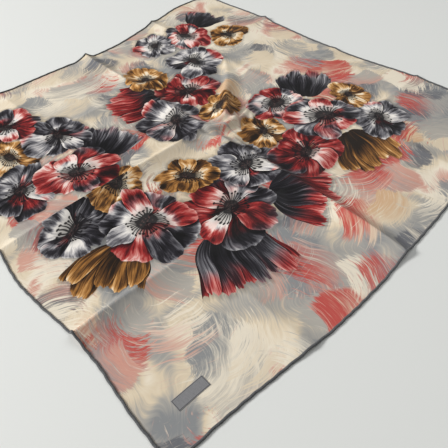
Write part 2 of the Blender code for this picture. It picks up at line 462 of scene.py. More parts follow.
# The print's motifs. Each layer gives every point its place on the nearest motif of that layer:
# along and across the motif in shares of its radius, and 1 on the motif, fading to 0 at its edge.
# Flowers fade outside their radius, and strokes, which lie closer together, inside it. Flowers
# of one layer keep room between them. Lengths are in millimetres.
Motif = namedtuple("Motif", "x y radius turn squash traits")
MOTIF_FADE = 8.0
MOTIF_ROOM = 30.0
STROKE_INSET = 13.0


def lay_motifs(layer, motifs, inset=0.0):
    """Writes one layer's two attributes: the place on the motif, and the motif's own traits."""
    x, y = S * SIDE, T * SIDE
    beside = [np.hypot(x - m.x, y - m.y) - m.radius for m in motifs]
    nearest = np.argmin(beside, 0)
    place = np.zeros((len(x), 3))
    traits = np.zeros((len(x), 3))
    for i, m in enumerate(motifs):
        own = nearest == i
        turn = radians(m.turn)
        away_x, away_y = (x[own] - m.x) / m.radius, (y[own] - m.y) / m.radius
        place[own, 0] = away_x * cos(turn) + away_y * sin(turn)
        place[own, 1] = (away_y * cos(turn) - away_x * sin(turn)) / m.squash
        traits[own] = m.traits
    place[:, 2] = np.clip(1 - (np.min(beside, 0) + inset) / MOTIF_FADE, 0, 1)
    keep_vectors(cloth.data, layer + " place", place)
    keep_vectors(cloth.data, layer + " traits", traits)


def has_room(motif, layer):
    """Whether a motif stands far enough from the others of a layer."""
    gaps = [hypot(m.x - motif.x, m.y - motif.y) - m.radius - motif.radius for m in layer]
    return min(gaps, default=MOTIF_ROOM) >= MOTIF_ROOM


# Brush strokes cover the ground in layers, full ones below and dry ones above. In each layer they
# lie in staggered rows, turned by a slow swirl, each with its own bend. A stroke's paints are
# picked from the layer's part of the range, 0 to 1, and its dryness goes from 0 to under 0.5.
StrokeLayer = namedtuple("StrokeLayer", "radius rows_turn dryness first_paint last_paint")
STROKE_LAYERS = (
    StrokeLayer(92, 10, 0.00, 0.0, 1.0),
    StrokeLayer(86, 52, 0.06, 0.0, 1.0),
    StrokeLayer(88, 31, 0.12, 0.0, 1.0),
    StrokeLayer(92, 74, 0.34, 0.3, 0.6),
    StrokeLayer(70, 20, 0.16, 0.0, 1.0),
    StrokeLayer(84, 63, 0.38, 0.3, 0.6),
)
STROKE_JITTER = 4.0
ROW_STEP = 0.87
# A stroke has one of these seeds, and its arc's middle is from 0.65 to 1.3 radii away.
STROKE_SEEDS = 400
WRIST_REACH = (0.65, 1.3)
# The swirl: the degrees that it turns the strokes by along X and along Y, each in waves of its
# own length, in millimetres to the radian. Each stroke then strays from it by up to STRAY_TURN.
Swirl = namedtuple("Swirl", "turn length")
SWIRL_X = Swirl(150, 190)
SWIRL_Y = Swirl(120, 160)
STRAY_TURN = 45
chance = np.random.default_rng(11)


def row_strokes(layer):
    """One layer's strokes."""
    strokes = []
    spacing = 2 * (layer.radius + STROKE_JITTER)
    reach = int(SIDE / spacing)
    rows_turn = radians(layer.rows_turn)
    middle = SIDE / 2
    for row in range(-reach, reach + 1):
        for column in range(-reach, reach + 1):
            on_x = (column + 0.5 * (row % 2)) * spacing
            on_x += chance.uniform(-STROKE_JITTER, STROKE_JITTER)
            on_y = row * ROW_STEP * spacing + chance.uniform(-STROKE_JITTER, STROKE_JITTER)
            x = on_x * cos(rows_turn) - on_y * sin(rows_turn) + middle
            y = on_x * sin(rows_turn) + on_y * cos(rows_turn) + middle
            swirl = SWIRL_X.turn * sin(x / SWIRL_X.length) + SWIRL_Y.turn * cos(y / SWIRL_Y.length)
            turn = swirl + chance.uniform(-STRAY_TURN, STRAY_TURN)
            seed = chance.integers(1, STROKE_SEEDS) + layer.dryness
            tint = chance.uniform(layer.first_paint, layer.last_paint)
            traits = (seed, tint, chance.uniform(*WRIST_REACH))
            if max(abs(x - middle), abs(y - middle)) < middle + layer.radius:
                strokes.append(Motif(x, y, layer.radius, turn, 1.0, traits))
    return strokes


for number, layer in enumerate(STROKE_LAYERS):
    lay_motifs(f"stroke {number}", row_strokes(layer), STROKE_INSET)

# The flowers, in loose clusters, placed on the flat square in millimetres. The tint is 0
# for grey, 1 for red and 2 for ochre. Open flowers are seen from above, the others from the side.
Flower = namedtuple("Flower", "x y radius turn squash petals tint")
SIDE_FLOWERS = (
    Flower(104, 284, 92, 122, 0.95, 3, 2.0),
    Flower(258, 154, 114, 166, 0.95, 4, 0.42),
    Flower(446, 184, 98, -140, 0.95, 4, 0.58),
    Flower(610, 172, 88, 160, 0.95, 3, 2.0),
    Flower(722, 404, 84, -48, 0.95, 3, 0.16),
    Flower(296, 574, 88, -60, 0.95, 3, 0.22),
    Flower(84, 744, 76, 100, 0.95, 3, 2.0),
    Flower(404, 640, 92, 60, 0.95, 3, 0.66),
    Flower(790, 800, 78, -70, 0.95, 3, 0.25),
)
OPEN_FLOWERS = (
    Flower(116, 404, 88, 200, 0.88, 4, 0.08),
    Flower(226, 448, 74, 40, 0.86, 4, 2.0),
    Flower(212, 326, 104, 75, 0.86, 4, 0.40),
    Flower(330, 258, 108, 20, 0.90, 4, 0.66),
    Flower(338, 374, 72, 140, 0.88, 4, 2.0),
    Flower(432, 316, 90, 300, 0.84, 4, 0.18),
    Flower(534, 258, 92, 10, 0.88, 4, 0.74),
    Flower(532, 362, 66, 60, 0.86, 4, 2.0),
    Flower(646, 296, 98, 320, 0.88, 4, 0.36),
    Flower(712, 206, 78, 230, 0.88, 4, 0.10),
    Flower(620, 404, 86, 150, 0.84, 4, 0.56),
    Flower(748, 300, 64, 80, 0.86, 4, 2.0),
    Flower(96, 560, 88, 40, 0.88, 4, 0.44),
    Flower(196, 530, 94, 170, 0.84, 4, 0.78),
    Flower(128, 664, 76, 260, 0.86, 4, 2.0),
    Flower(228, 652, 92, 100, 0.88, 4, 0.16),
    Flower(172, 764, 84, 340, 0.86, 4, 0.60),
    Flower(430, 520, 96, 280, 0.88, 4, 0.32),
    Flower(524, 484, 66, 30, 0.86, 4, 2.0),
    Flower(524, 592, 94, 190, 0.86, 4, 0.72),
    Flower(486, 700, 72, 80, 0.88, 4, 2.0),
    Flower(616, 668, 88, 120, 0.86, 4, 0.12),
    Flower(690, 766, 84, 250, 0.86, 4, 0.62),
    Flower(766, 684, 68, 20, 0.86, 4, 2.0),
    Flower(602, 806, 76, 60, 0.86, 4, 0.24),
)


def flower_layers(flowers, first_seed):
    """Flowers of one kind, dealt into layers in which each has room."""
    layers = []
    for seed, flower in enumerate(flowers, first_seed):
        traits = (seed, flower.tint, flower.petals)
        motif = Motif(flower.x, flower.y, flower.radius, flower.turn, flower.squash, traits)
        free = [layer for layer in layers if has_room(motif, layer)]
        if free:
            free[0].append(motif)
        else:
            layers.append([motif])
    return layers


SIDE_LAYERS = flower_layers(SIDE_FLOWERS, 1)
OPEN_LAYERS = flower_layers(OPEN_FLOWERS, 1 + len(SIDE_FLOWERS))
FLOWER_LAYERS = {f"side flower {number}": layer for number, layer in enumerate(SIDE_LAYERS)}
FLOWER_LAYERS |= {f"open flower {number}": layer for number, layer in enumerate(OPEN_LAYERS)}
for name, layer in FLOWER_LAYERS.items():
    lay_motifs(name, layer)

# The cloth's own flat place, in metres, for the ground's patches and the weave.
keep_vectors(cloth.data, "flat place", np.stack([S * SIDE * MM, T * SIDE * MM, 0 * S], -1))

# A wall keeps the sheet's own points first, as its upper side, and adds the underside's to them.
thicken(cloth, CLOTH_THICKNESS)
bpy.ops.object.shade_smooth()
UPPER_POINTS = len(S)
is_under = np.arange(len(cloth.data.vertices)) >= UPPER_POINTS
under = cloth.data.attributes.new("under", "FLOAT", "POINT")
under.data.foreach_set("value", is_under.astype(float))

# The bake's map: the upper side fills two thirds of it and the underside the rest.
UPPER_SHARE = 0.66
bake_map = cloth.data.uv_layers[0]
bake_map.name = "OFBake"
corner_points = np.empty(len(cloth.data.loops), dtype=int)
cloth.data.loops.foreach_get("vertex_index", corner_points)
is_upper = corner_points < UPPER_POINTS
map_s = S[corner_points % UPPER_POINTS]
map_t = T[corner_points % UPPER_POINTS]
map_v = np.where(is_upper, map_t * UPPER_SHARE, UPPER_SHARE + map_t * (1 - UPPER_SHARE))
bake_map.data.foreach_set("uv", np.stack([map_s, map_v], -1).ravel())


class Wire:
    """A value on its way through a shader's nodes. Arithmetic on wires adds Math nodes."""

    def __init__(self, socket):
        self.socket = socket

    def math(self, operation, *others):
        """The outcome of one Math node on this wire and the others."""
        node = self.socket.id_data.nodes.new("ShaderNodeMath")
        node.operation = operation
        for slot, value in zip(node.inputs, (self, *others)):
            plug(value, slot)
        return Wire(node.outputs[0])

    def __add__(self, other):
        return self.math("ADD", other)

    def __radd__(self, other):
        return self.math("ADD", other)

    def __sub__(self, other):
        return self.math("SUBTRACT", other)

    def __rsub__(self, other):
        return (self * -1).math("ADD", other)

    def __mul__(self, other):
        return self.math("MULTIPLY", other)

    def __truediv__(self, other):
        return self.math("DIVIDE", other)

    def __pow__(self, other):
        return self.math("POWER", other)


def plug(value, slot):
    """Joins a wire to a slot, or sets the slot to a plain value."""
    if isinstance(value, Wire):
        slot.id_data.links.new(value.socket, slot)
    else:
        slot.default_value = value


def smooth(wire, low, high):
    """0 below low, 1 above high, and a soft step between. High may be the lower of the two."""
    node = wire.socket.id_data.nodes.new("ShaderNodeMapRange")
    node.interpolation_type = "SMOOTHSTEP"
    for slot, value in zip(node.inputs, (wire, low, high, 0.0, 1.0)):
        plug(value, slot)
    return Wire(node.outputs[0])


def spot(tree, x, y, z=0.0):
    """A vector from three values."""
    node = tree.nodes.new("ShaderNodeCombineXYZ")
    for slot, value in zip(node.inputs, (x, y, z)):
        plug(value, slot)
    return Wire(node.outputs[0])


def parts(wire):
    """The three values of a vector."""
    node = wire.socket.id_data.nodes.new("ShaderNodeSeparateXYZ")
    plug(wire, node.inputs[0])
    return [Wire(socket) for socket in node.outputs]


def noise(place, detail=2.0, roughness=0.5):
    """Soft noise from 0 to 1, one cell to the unit."""
    node = place.socket.id_data.nodes.new("ShaderNodeTexNoise")
    plug(place, node.inputs["Vector"])
    node.inputs["Scale"].default_value = 1.0
    node.inputs["Detail"].default_value = detail
    node.inputs["Roughness"].default_value = roughness
    return Wire(node.outputs[0])


def dice(place):
    """Three even chances from 0 to 1 for each place."""
    nodes = place.socket.id_data.nodes
    throw = nodes.new("ShaderNodeTexWhiteNoise")
    plug(place, throw.inputs["Vector"])
    split = nodes.new("ShaderNodeSeparateColor")
    plug(Wire(throw.outputs["Color"]), split.inputs[0])
    return [Wire(socket) for socket in split.outputs]


def paint(*printed):
    """A colour from its printed red, green and blue, 0 to 255."""
    shares = [value / 255 for value in printed]
    linear = [((c + 0.055) / 1.055) ** 2.4 if c > 0.04045 else c / 12.92 for c in shares]
    return (*linear, 1.0)


def mixed(share, first, second):
    """The first colour, giving way to the second by a share."""
    node = share.socket.id_data.nodes.new("ShaderNodeMix")
    node.data_type = "RGBA"
    plug(share, node.inputs[0])
    plug(first, node.inputs[6])
    plug(second, node.inputs[7])
    return Wire(node.outputs[2])


def shades(wire, *stops, steps=False):
    """A colour read from a row of stops: places and paints in turn."""
    node = wire.socket.id_data.nodes.new("ShaderNodeValToRGB")
    row = node.color_ramp
    row.interpolation = "CONSTANT" if steps else "LINEAR"
    while len(row.elements) < len(stops):
        row.elements.new(1.0)
    for element, (place, colour) in zip(row.elements, stops):
        element.position = place
        element.color = colour
    plug(wire, node.inputs[0])
    return Wire(node.outputs[0])


def new_pattern(name, inputs, outputs):
    """A node group with the named sockets, and its input wires and output slots."""
    group = bpy.data.node_groups.new(name, "ShaderNodeTree")
    for way, sockets in (("INPUT", inputs), ("OUTPUT", outputs)):
        for socket_name, kind in sockets:
            kind = "NodeSocket" + kind
            group.interface.new_socket(name=socket_name, in_out=way, socket_type=kind)
    entry = group.nodes.new("NodeGroupInput")
    leave = group.nodes.new("NodeGroupOutput")
    return group, [Wire(socket) for socket in entry.outputs[:-1]], leave.inputs


def use_pattern(tree, group, *values):
    """One use of a pattern in a tree, and its output wires."""
    node = tree.nodes.new("ShaderNodeGroup")
    node.node_tree = group
    for slot, value in zip(node.inputs, values):
        plug(value, slot)
    return [Wire(socket) for socket in node.outputs]


CREAM = paint(220, 204, 177)
MILK = paint(236, 226, 206)
WARM_GREY = paint(172, 168, 160)
MID_GREY = paint(138, 140, 141)
SLATE = paint(102, 104, 110)
BEIGE = paint(208, 172, 134)
CORAL = paint(190, 64, 56)
BLUSH = paint(206, 154, 138)

# Each layer of the print is pressed on over the one below, and lands a hair out of register where
# that one has put paint. The offset is a share of the motif's radius.
OFF_REGISTER = 0.004
MOTIF_INPUTS = (("Place", "Vector"), ("Traits", "Vector"), ("Below", "Float"))


def motif_place(place, below):
    """A place along and across a motif, out of register by the paint below, and 1 inside it."""
    x, y, inside = parts(place)
    return x + below * OFF_REGISTER, y + below * OFF_REGISTER, inside


# A brush stroke: an arc swept round a wrist, loaded with two paints that lie side by side in
# fine lines. It is full at its head and dries along the way, until the bristles part, and one of
# its sides is drier than the other. Lines and hairs are counted to the stroke's radius.
STROKE_WAVER = 0.36
STROKE_LINES = 9
STROKE_HAIRS = 26
FULL_LOAD = 2.3
DRY_LOSS = 3.1
stroke_group, (place, traits, below), leave = new_pattern(
    "brush stroke",
    MOTIF_INPUTS,
    (("Colour", "Color"), ("Mask", "Float")),
)
tree = stroke_group
x, y, inside = motif_place(place, below)
seed_and_dryness, tint, wrist = parts(traits)
seed = seed_and_dryness.math("ROUND")
dryness = seed_and_dryness - seed
# The wrist lies straight below the stroke's middle, and the arc round it wavers a little.
drift = noise(spot(tree, x * 1.2, y * 1.2, seed * 1.7), 1.0)
from_wrist = (x * x + (y + wrist) * (y + wrist)).math("SQRT") + (drift - 0.5) * STROKE_WAVER
sweep = x.math("ARCTAN2", y + wrist)
across = from_wrist - wrist
lines = noise(spot(tree, sweep * 0.9, from_wrist * STROKE_LINES, seed * 3.1), 4.0, 0.78)
hairs = noise(spot(tree, sweep * 1.1, from_wrist * STROKE_HAIRS, seed * 5.3), 3.0, 0.7)
# The load of paint thins towards the sides, head and tail, and streaks part what is left.
side = smooth(across, 0.60, 0.02) * smooth(across, -0.56, -0.34)
head = smooth(x, -0.95, -0.45) * smooth(sweep, -1.5, -0.9)
tail = smooth(x, 0.98, -0.20) * smooth(sweep, 1.6, 0.3)
load = side * head * tail * smooth(x * x + y * y, 0.68, 0.20)
streaks = (lines - 0.5) * 3.0 + (hairs - 0.5) * (1.6 + dryness * 8)
mask = smooth(load * (FULL_LOAD - dryness * DRY_LOSS) + streaks, 0.50, 1.10) * inside
# The two paints, and the few pale hairs among them.
first = shades(
    tint,
    (0.00, CREAM),
    (0.13, MID_GREY),
    (0.31, CORAL),
    (0.41, MILK),
    (0.51, WARM_GREY),
    (0.69, SLATE),
    (0.81, BLUSH),
    (0.90, BEIGE),
    steps=True,
)
second = shades(
    (tint * 7.13).math("FRACT"),
    (0.00, MILK),
    (0.18, WARM_GREY),
    (0.42, CREAM),
    (0.58, BLUSH),
    (0.78, MID_GREY),
    steps=True,
)
blend = smooth(across * 1.1 + x * 0.5 + (lines - 0.5) * 2.2 + (hairs - 0.5) * 1.6, -0.45, 0.55)
colour = mixed(blend * 0.85, first, second)
colour = mixed(smooth(hairs, 0.54, 0.72) * 0.45, colour, MILK)
plug(colour, leave[0])
plug(mask, leave[1])


# A petal's paints in grey, red and ochre, printed at five tones from dark to pale.
PETAL_TONES = (0.00, 0.30, 0.55, 0.78, 1.00)
GREY_PETAL = ((10, 9, 12), (40, 38, 44), (110, 109, 114), (188, 185, 185), (240, 235, 228))
RED_PETAL = ((22, 8, 10), (84, 18, 22), (160, 46, 45), (206, 128, 120), (240, 214, 206))
OCHRE_PETAL = ((30, 20, 12), (84, 54, 26), (166, 114, 56), (220, 174, 116), (246, 230, 202))


def tinted(tint, tone):
    """A petal's colour: grey, red or ochre by its tint, from dark to pale by its tone."""
    grey, red, ochre = (
        shades(tone, *((place, paint(*printed)) for place, printed in zip(PETAL_TONES, paints)))
        for paints in (GREY_PETAL, RED_PETAL, OCHRE_PETAL)
    )
    return mixed(smooth(tint, 1.4, 1.6), mixed(smooth(tint, 0.38, 0.62), grey, red), ochre)


# A ring of petals: how far round it starts, in petals, how its petals' ends are rounded, and its
# seed. Petals are at least this long and grow by chance, in shares of the flower's radius, with a
# ruffled rim of so many waves to a petal, and their ends round off with this power.
Ring = namedtuple("Ring", "start rounding seed")
PETAL_LENGTH = 0.72
PETAL_GROWTH = 0.20
RUFFLE_DEPTH = 0.30
RUFFLE_WAVES = 3.5
PETAL_END = 3.2


def petal_outline(tree, seed, turns, distance, petals, ring):
    """One ring of petals: how far inside its petal a place lies, and that petal's own numbers."""
    way = turns * petals + ring.start
    index = way.math("FLOOR").math("FLOORED_MODULO", petals)
    size_chance, tint_chance, tone_chance = dice(spot(tree, index, seed, ring.seed))
    across = way.math("FRACT") - 0.5 + (tint_chance - 0.5) * 0.14
    ruffle = noise(spot(tree, turns * petals * RUFFLE_WAVES, seed, ring.seed), 3.0, 0.6)
    length = size_chance * PETAL_GROWTH + PETAL_LENGTH + (ruffle - 0.5) * RUFFLE_DEPTH
    edge = length * (1 - (across.math("ABSOLUTE") * ring.rounding) ** PETAL_END)
    return edge - distance, (index + ring.seed * 3, tint_chance, tone_chance)


def choose(share, first, second):
    """The first value, giving way to the second by a share."""
    return first + (second - first) * share


# How a kind of flower is painted: how close its veins lie and how strongly they and the washes
# show, how pale it is near its middle, how far its petals differ in tint, and how much redder
# each petal gets towards its end, by chance and always.
Look = namedtuple("Look", "lines veins washes glow variety mottle reddening")
PETAL_TONE = 0.44


def petal_colour(tree, tint, seed, turns, distance, petals, back, front, look, shading):
    """The colour of the petals: those in front over those behind, with veins, washes and rims."""
    in_front = front[0].math("GREATER_THAN", 0.0)
    depth = choose(in_front, back[0], front[0])
    index, tint_chance, tone_chance = (choose(in_front, b, f) for b, f in zip(back[1], front[1]))
    vein_way = turns * petals * look.lines + index * 13
    veins = noise(spot(tree, vein_way, distance * 1.7, seed + index), 4.0, 0.7)
    wash_way = turns * petals * 2.4 + index * 5
    wash = noise(spot(tree, wash_way, distance * 2.6, seed + index + 50), 1.0)
    shadow = smooth(front[0], -0.16, 0.0) * (1 - in_front) * 0.32
    glow = smooth(distance, 0.70, 0.26) * smooth(tone_chance, 0.15, 0.8) * look.glow
    rim = smooth(depth, 0.08, 0.0) * 0.16
    tone = PETAL_TONE + (veins - 0.5) * look.veins + (wash - 0.5) * look.washes
    tone = tone + (tone_chance - 0.5) * 0.30 + glow + rim - shadow - shading
    blush = (distance - 0.5) * ((tone_chance - 0.5) * look.mottle + look.reddening)
    own_tint = ((tint_chance - 0.5) * 0.6 + (wash - 0.5) * 0.8) * look.variety + blush
    return tinted(tint + own_tint * smooth(tint, 1.5, 1.4), tone)


# The dark of the eyes, and of the shadow that a flower casts.
EYE = paint(18, 15, 18)
CAST_SHADOW = 0.35
FLOWER_OUTPUTS = (("Colour", "Color"), ("Mask", "Float"), ("Shadow", "Float"))


def flower_traits(traits):
    """A flower's seed, its tint and the number of its petals."""
    seed, tint, petals = parts(traits)
    return seed.math("ROUND"), tint, petals.math("ROUND")


# An open flower seen from above: two rings of ruffled petals round a dark eye with stamens.
OPEN_BACK = Ring(start=0.0, rounding=1.70, seed=3.0)
OPEN_FRONT = Ring(start=0.5, rounding=2.30, seed=8.0)
OPEN_BEND = 0.40
STAMENS = 30
STAMEN_LENGTH = 0.25
STAMEN_GROWTH = 0.12
open_group, (place, traits, below), leave = new_pattern("open flower", MOTIF_INPUTS, FLOWER_OUTPUTS)
tree = open_group
x, y, inside = motif_place(place, below)
seed, tint, petals = flower_traits(traits)
x = x + (noise(spot(tree, x * 1.5, y * 1.5, seed * 7.3), 1.0) - 0.5) * OPEN_BEND
y = y + (noise(spot(tree, x * 1.5, y * 1.5, seed * 7.3 + 40), 1.0) - 0.5) * OPEN_BEND
distance = (x * x + y * y).math("SQRT")
turns = y.math("ARCTAN2", x) / (2 * pi) + 0.5
back = petal_outline(tree, seed, turns, distance, petals, OPEN_BACK)
front = petal_outline(tree, seed, turns, distance, petals, OPEN_FRONT)
look = Look(lines=9, veins=1.8, washes=1.45, glow=0.64, variety=1.0, mottle=2.6, reddening=0.0)
colour = petal_colour(tree, tint, seed, turns, distance, petals, back, front, look, 0.0)
# The eye, mottled, and the stamens as threads and dots round it.
stamen_way = turns * STAMENS
stamen_chance, dot_chance = dice(spot(tree, stamen_way.math("FLOOR"), seed, 21.0))[:2]
stamen_across = (stamen_way.math("FRACT") - 0.5) * distance * (2 * pi / STAMENS)
stamen_end = STAMEN_LENGTH + stamen_chance * STAMEN_GROWTH
thread = smooth(stamen_across.math("ABSOLUTE"), 0.015, 0.006)
thread = thread * smooth(distance, stamen_end, stamen_end - 0.01)
dot = (stamen_across * stamen_across + (distance - stamen_end) ** 2).math("SQRT")
dot = smooth(dot, 0.034, 0.020)
eye = smooth(distance + dot_chance * 0.04, 0.205, 0.175)
mottle = noise(spot(tree, x * 26, y * 26, seed), 2.0)
eye_colour = mixed(smooth(mottle, 0.5, 0.7) * smooth(distance, 0.13, 0.08), EYE, paint(84, 62, 60))
colour = mixed(smooth(distance, 0.46, 0.18) * 0.6, colour, EYE)
colour = mixed(thread.math("MAXIMUM", dot).math("MAXIMUM", eye) * 0.95, colour, eye_colour)
outline = back[0].math("MAXIMUM", front[0])
inside = smooth(inside, 0.9, 1.0)
plug(colour, leave[0])
plug(smooth(outline, 0.0, 0.015) * inside, leave[1])
plug(smooth(outline, -0.10, 0.0) * CAST_SHADOW * inside, leave[2])

# A flower seen from the side: a cup of petals over a dark base with a pale stub of stem. Its lines
# run from the base and bulge with the cup, whose half width grows as a quarter of an ellipse.
SIDE_BACK = Ring(start=0.5, rounding=1.4, seed=4.0)
SIDE_FRONT = Ring(start=0.0, rounding=1.95, seed=9.0)
BASE = -0.74
CUP_LENGTH = 1.50
CUP_HALF_WIDTH = 0.80
CUP_BEND = 0.30
side_group, (place, traits, below), leave = new_pattern("side flower", MOTIF_INPUTS, FLOWER_OUTPUTS)
tree = side_group
x, y, inside = motif_place(place, below)
seed, tint, petals = flower_traits(traits)
y = y - BASE
bend = (noise(spot(tree, x * 1.1, y * 1.1, seed * 7.3), 1.0) - 0.5) * CUP_BEND
x = x + bend * smooth(y, 0.0, 0.5)
height = y / CUP_LENGTH
level = height.math("MAXIMUM", 0.0).math("MINIMUM", 1.0)
half_width = (level * (2 - level)).math("SQRT") * CUP_HALF_WIDTH + 0.03
across = x / half_width
cup_way = across / 2 + 0.5
distance = height + across * across * 0.14
at_side = smooth(across.math("ABSOLUTE"), 0.98, 1.0) * 2
back_depth, back_numbers = petal_outline(tree, seed, cup_way, distance, petals, SIDE_BACK)
front_depth, front_numbers = petal_outline(tree, seed, cup_way, distance, petals, SIDE_FRONT)
back = (back_depth - at_side, back_numbers)
front = (front_depth - at_side, front_numbers)
dark_base = smooth(distance, 0.85, 0.05) * 0.46 - 0.06
look = Look(lines=11, veins=1.6, washes=0.8, glow=0.0, variety=0.45, mottle=0.9, reddening=0.9)
colour = petal_colour(tree, tint, seed, cup_way, distance, petals, back, front, look, dark_base)
stub = smooth(x.math("ABSOLUTE"), 0.040, 0.022) * smooth(y, -0.15, -0.11) * smooth(y, 0.05, 0.0)
colour = mixed(stub, colour, paint(216, 208, 195))
outline = back[0].math("MAXIMUM", front[0])
above_base = smooth(height, 0.0, 0.01)
inside = smooth(inside, 0.9, 1.0)
plug(colour, leave[0])
plug((smooth(outline, 0.0, 0.012) * above_base).math("MAXIMUM", stub) * inside, leave[1])
plug(smooth(outline, -0.08, 0.0) * above_base * CAST_SHADOW * inside, leave[2])

# The weave: fine threads each way with slight slubs, as a height for a Bump node. Along a thread
# it changes at these shares of its rate across, and the lengthwise threads show more.
WARP_STRETCH = 0.06
WEFT_STRETCH = 0.09
WARP_SHARE = 0.6
weave_group, (place, fineness), leave = new_pattern(
    "thread weave",
    (("Place", "Vector"), ("Threads", "Float")),
    (("Height", "Float"),),
)
x, y = parts(place)[:2]
warp = noise(spot(weave_group, x * fineness, y * fineness * WARP_STRETCH, 1.0), 2.0)
weft = noise(spot(weave_group, x * fineness * WEFT_STRETCH, y * fineness * 0.8, 9.0), 2.0)
plug(warp * WARP_SHARE + weft * (1 - WARP_SHARE), leave[0])


def new_material(name, roughness, sheen):
    """A material, its tree of nodes and its Principled shader."""
    material = bpy.data.materials.new(name)
    material.use_nodes = True
    shader = material.node_tree.nodes["Principled BSDF"]
    shader.inputs["Roughness"].default_value = roughness
    shader.inputs["Sheen Weight"].default_value = sheen
    return material, material.node_tree, shader


def read(tree, attribute, output="Vector"):
    """What a piece's attribute holds at each place."""
    node = tree.nodes.new("ShaderNodeAttribute")
    node.attribute_name = attribute
    return Wire(node.outputs[output])


# The height of a bump, in millimetres.
BUMP_DEPTH = 0.2


def add_bump(tree, shader, height, strength):
    """A bump from a height, into the shader's Normal."""
    bump = tree.nodes.new("ShaderNodeBump")
    bump.inputs["Strength"].default_value = strength
    bump.inputs["Distance"].default_value = BUMP_DEPTH * MM
    plug(height, bump.inputs["Height"])
    plug(Wire(bump.outputs["Normal"]), shader.inputs["Normal"])


# The printed satin: soft patches with the marks of bristles, then the strokes, then the flowers.
# The underside shows it paler. Patches, bristles and weave are counted to the metre.
PATCHES = 7
BRISTLES_ALONG = 12
BRISTLES_ACROSS = 150
BRISTLE_MARKS = 0.17
STROKE_COVER = 0.92
UNDERSIDE_PALENESS = 0.45
SATIN_WEAVE = 1400.0
satin, tree, shader = new_material("printed_satin", roughness=0.5, sheen=0.02)
shader.inputs["Specular IOR Level"].default_value = 0.22
flat = read(tree, "flat place")
x, y = parts(flat)[:2]
drift = noise(spot(tree, x * 6, y * 6, 3.0), 2.0)
patches = noise(spot(tree, x * PATCHES + drift * 2.2, y * PATCHES - drift * 1.8, 4.5), 1.5)
along_bristles = (x + y) * BRISTLES_ALONG - drift * 6
across_bristles = (y - x) * BRISTLES_ACROSS + drift * 70
bristles = noise(spot(tree, along_bristles, across_bristles, 7.0), 3.0, 0.6)
colour = shades(
    patches + (bristles - 0.5) * BRISTLE_MARKS,
    (0.32, MID_GREY),
    (0.41, WARM_GREY),
    (0.48, CREAM),
    (0.58, MILK),
    (0.66, BLUSH),
)
mask = 0.0
for number in range(len(STROKE_LAYERS)):
    place, traits = (read(tree, f"stroke {number} {kind}") for kind in ("place", "traits"))
    painted, mask = use_pattern(tree, stroke_group, place, traits, mask)
    colour = mixed(mask * STROKE_COVER, colour, painted)
for name in FLOWER_LAYERS:
    group = side_group if name.startswith("side") else open_group
    place, traits = (read(tree, f"{name} {kind}") for kind in ("place", "traits"))
    painted, mask, shadow = use_pattern(tree, group, place, traits, mask)
    colour = mixed(shadow, colour, EYE)
    colour = mixed(mask, colour, painted)
paler = read(tree, "under", "Fac") * UNDERSIDE_PALENESS
colour = mixed(paler, colour, paint(214, 208, 198))
plug(colour, shader.inputs["Base Color"])
(height,) = use_pattern(tree, weave_group, flat, SATIN_WEAVE)
add_bump(tree, shader, height, strength=0.25)
cloth.data.materials.append(satin)
cloth.data.update()


# ---------------------------------------------------------------------------------------------
# The hems: each edge is rolled under to a narrow cord and oversewn with dark grey thread. The
# thread's turns lie side by side and slanted, and the four rolls meet on a mitre at each corner.

HEM_WIDTH = 3.8
HEM_HEIGHT = 2.8
HEM_SIDES = 10
THREAD_PITCH = 1.5
THREAD_DEPTH = 0.16
THREAD_SLANT = 0.9
MITRE_REACH = 4.0
# The share of a turn's height that lies inside the cord's mean thickness.
THREAD_MIDDLE = 0.6
# The rod's long edges are cut into rings in two goes. An edge of a ring is level to within this.
HEM_CUTS = (50, 50)
LEVEL = 1e-4
# A ring faces the way from this share of the side behind it to the same share ahead.
RUN_STEP = 0.002

# Where each hem lies, as shares of the cloth's two sides.
HEM_WAYS = {
    "front": lambda share: (share, 0 * share),
    "right": lambda share: (0 * share + 1, share),
    "back": lambda share: (share, 0 * share + 1),
    "left": lambda share: (0 * share, share),
}


